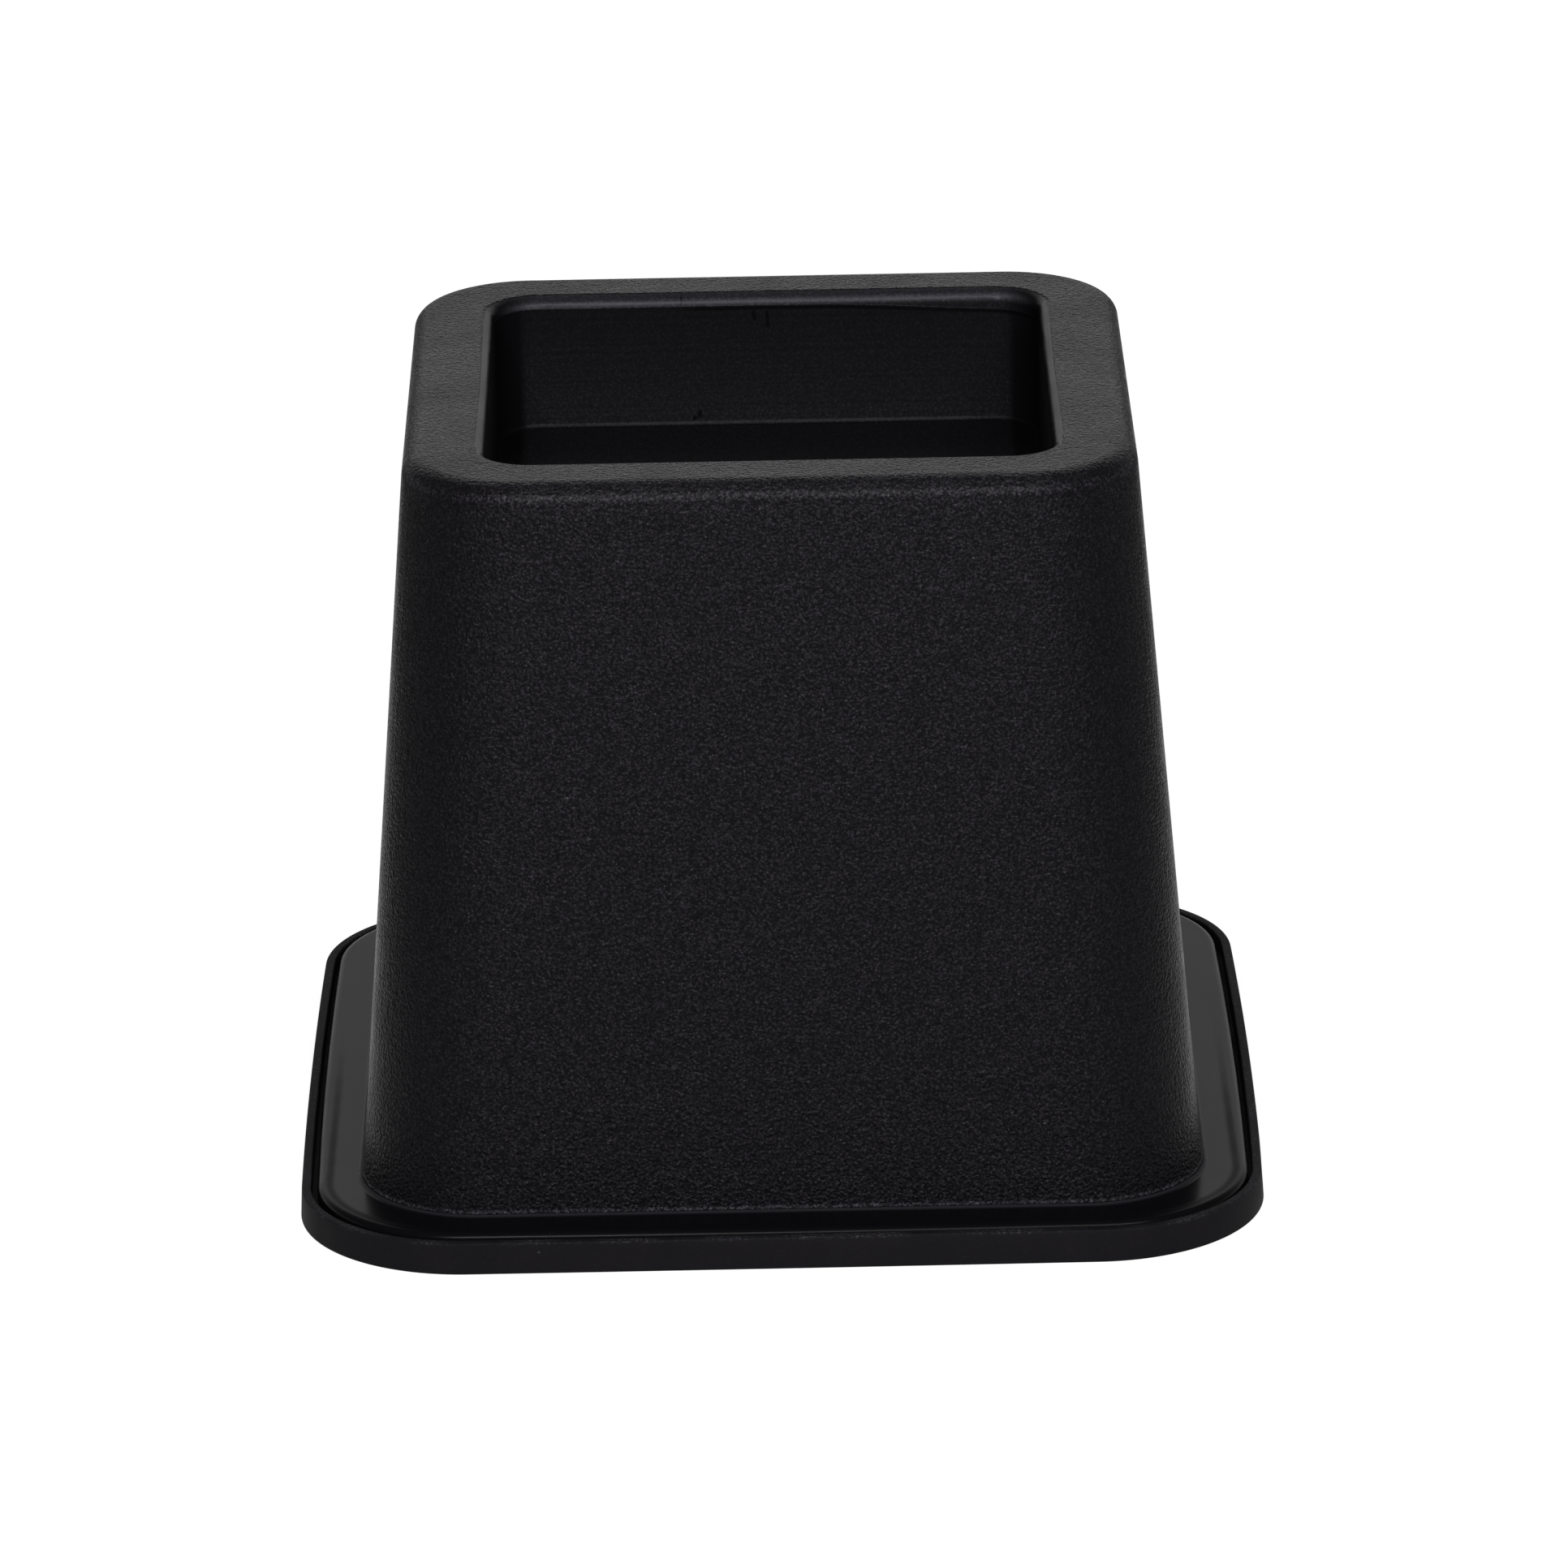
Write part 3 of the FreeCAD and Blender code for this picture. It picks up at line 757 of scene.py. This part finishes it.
class RISER_OT_finish_body(bpy.types.Operator):
    """Give the riser's body its grained black plastic"""

    bl_idname = "bed_riser.finish_body"
    bl_label = "Finish Riser Body"

    def execute(self, context):
        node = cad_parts[RISER]
        node.data.materials.clear()
        node.data.materials.append(plastic_material(context.scene.riser_plastic))
        return {"FINISHED"}


class RISER_OT_make_boot(bpy.types.Operator):
    """Make the rubber boot under the riser's flange"""

    bl_idname = "bed_riser.make_boot"
    bl_label = "Make Rubber Boot"

    def execute(self, context):
        boot = context.scene.riser_boot
        tray = add_object("rubber_boot_tray", boot_mesh(boot))
        tray.data.materials.append(rubber_material(boot))
        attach(tray, BODY)
        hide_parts(BOOT)
        return {"FINISHED"}


def seen_ray(tree, paper):
    """One for rays from the camera or through glass, and for mirror rays on the paper."""
    path = add_node(tree, "ShaderNodeLightPath").outputs
    beside = calculate(tree, "ABSOLUTE", object_axes(tree)["X"])
    off_paper = smooth_step(tree, beside, 0.4 * paper, 0.7 * paper)
    mirrored = calculate(tree, "MULTIPLY", path["Is Glossy Ray"], invert(tree, off_paper))
    direct = calculate(tree, "MAXIMUM", path["Is Camera Ray"], path["Is Transmission Ray"])
    return calculate(tree, "MAXIMUM", direct, mirrored)


def floor_material(stage):
    """A white floor that keeps a soft shadow."""
    material = bpy.data.materials.new("studio_floor")
    material.use_nodes = True
    tree = material.node_tree
    tree.nodes.clear()
    shade = add_node(tree, "ShaderNodeBsdfDiffuse", {"Color": solid(stage.floor_colour)})
    place = {0: object_place(tree)}
    away = add_node(tree, "ShaderNodeVectorMath", place, operation="LENGTH").outputs["Value"]
    far_off = smooth_step(tree, away, 0.2, 0.6)
    level = blend_values(tree, far_off, stage.floor_glow, stage.far_glow)
    strength = calculate(tree, "MULTIPLY", seen_ray(tree, stage.paper_width), level)
    glow = add_node(tree, "ShaderNodeEmission", {"Strength": strength})
    both = add_node(tree, "ShaderNodeAddShader", {0: shade.outputs[0], 1: glow.outputs[0]})
    add_node(tree, "ShaderNodeOutputMaterial", {"Surface": both.outputs[0]})
    return material


def make_floor(stage):
    """A wide flat floor just below the sole."""
    half = stage.floor_width / 2
    data = bpy.data.meshes.new("studio_floor")
    corners = [(-half, -half, 0.0), (half, -half, 0.0), (half, half, 0.0), (-half, half, 0.0)]
    data.from_pydata(corners, [], [(0, 1, 2, 3)])
    data.materials.append(floor_material(stage))
    floor = add_object("studio_floor", data)
    floor.location.z = CAD_BOX[0].z - FLOOR_GAP


def make_world(stage):
    """Plain white light from the room, brighter from behind."""
    world = bpy.data.worlds.new("studio_surroundings")
    world.use_nodes = True
    tree = world.node_tree
    background = tree.nodes["Background"]
    background.inputs["Color"].default_value = (1.0, 1.0, 1.0, 1.0)
    direction = add_node(tree, "ShaderNodeTexCoord").outputs["Generated"]
    axes = add_node(tree, "ShaderNodeSeparateXYZ", {"Vector": direction}).outputs
    aside = smooth_step(tree, calculate(tree, "ABSOLUTE", axes["X"]), 0.35, 0.8)
    behind = product(tree, invert(tree, aside), smooth_step(tree, axes["Y"], 0.15, 0.6))
    overhead = smooth_step(tree, axes["Z"], 0.4, 0.65)
    level = blend_values(tree, behind, stage.room, stage.backdrop)
    strength = blend_values(tree, overhead, level, stage.ceiling)
    tree.links.new(strength, background.inputs["Strength"])
    bpy.context.scene.world = world


# Each softbox: its name, its bearing from the front and its height in degrees, its width and its
# height in metres, and the setting that holds its power.
SOFTBOXES = (
    ("left_softbox", -12, 33, 0.12, 0.06, "left_power"),
    ("right_softbox", 18, 36, 0.3, 0.14, "right_power"),
    ("left_strip", -102, 4, 0.6, 0.12, "side_power"),
    ("right_strip", 102, 4, 0.6, 0.12, "side_power"),
    ("back_softbox", 180, 40, 0.5, 0.3, "back_power"),
)


def make_lights(stage):
    """The softboxes, each facing the riser's middle."""
    middle = (CAD_BOX[0] + CAD_BOX[1]) / 2
    for name, bearing, height, width, depth, power in SOFTBOXES:
        data = bpy.data.lights.new(name, "AREA")
        data.shape = "RECTANGLE"
        data.size = width
        data.size_y = depth
        data.energy = getattr(stage, power)
        turn, rise = math.radians(bearing), math.radians(height)
        level = math.cos(rise)
        away = Vector((math.sin(turn) * level, -math.cos(turn) * level, math.sin(rise)))
        lamp = add_object(name, data)
        lamp.visible_camera = False
        lamp.location = middle + away * stage.lamp_distance
        lamp.rotation_euler = (-away).to_track_quat("-Z", "Y").to_euler()


def make_camera(stage):
    """The camera, where the photograph was taken from."""
    data = bpy.data.cameras.new("studio_camera")
    data.lens = stage.lens
    camera = add_object("studio_camera", data)
    eye = Vector(stage.eye)
    ahead = (Vector(stage.target) - eye).normalized()
    level = ahead.cross(Vector((0.0, 0.0, 1.0))).normalized()
    upright = level.cross(ahead)
    right = level * math.cos(stage.roll) + upright * math.sin(stage.roll)
    up = right.cross(ahead)
    turn = Matrix((right, up, -ahead)).transposed()
    camera.matrix_world = Matrix.LocRotScale(eye, turn.to_quaternion(), None)
    bpy.context.scene.camera = camera


class RISER_OT_set_stage(bpy.types.Operator):
    """Set the floor, the light and the camera round the riser"""

    bl_idname = "bed_riser.set_stage"
    bl_label = "Set Stage"

    def execute(self, context):
        stage = context.scene.riser_stage
        make_floor(stage)
        make_world(stage)
        make_lights(stage)
        make_camera(stage)
        context.scene.view_settings.view_transform = "Standard"
        return {"FINISHED"}


class RISER_PT_sidebar(bpy.types.Panel):
    """The riser's pieces and stage"""

    bl_label = "Bed Riser"
    bl_idname = "RISER_PT_sidebar"
    bl_space_type = "VIEW_3D"
    bl_region_type = "UI"
    bl_category = "Bed Riser"

    def draw(self, context):
        for operator, settings in STEPS:
            box = self.layout.box()
            box.operator(operator.bl_idname)
            group = getattr(context.scene, settings)
            for name in group.bl_rna.properties.keys():
                if name not in ("rna_type", "name"):
                    box.prop(group, name)


STEPS = (
    (RISER_OT_finish_body, "riser_plastic"),
    (RISER_OT_make_boot, "riser_boot"),
    (RISER_OT_set_stage, "riser_stage"),
)
SETTINGS = {
    "riser_plastic": PlasticSettings,
    "riser_boot": BootSettings,
    "riser_stage": StageSettings,
}
CLASSES = (*SETTINGS.values(), *(operator for operator, _ in STEPS), RISER_PT_sidebar)


def register():
    """Add the settings, the operators and the panel."""
    for item in CLASSES:
        bpy.utils.register_class(item)
    for name, settings in SETTINGS.items():
        setattr(bpy.types.Scene, name, PointerProperty(type=settings))


def unregister():
    """Take the settings, the operators and the panel away."""
    for name in SETTINGS:
        delattr(bpy.types.Scene, name)
    for item in reversed(CLASSES):
        bpy.utils.unregister_class(item)


def main():
    """Make everything in order."""
    register()
    bpy.ops.bed_riser.finish_body()
    bpy.ops.bed_riser.make_boot()
    bpy.ops.bed_riser.set_stage()


if __name__ == "__main__":
    main()
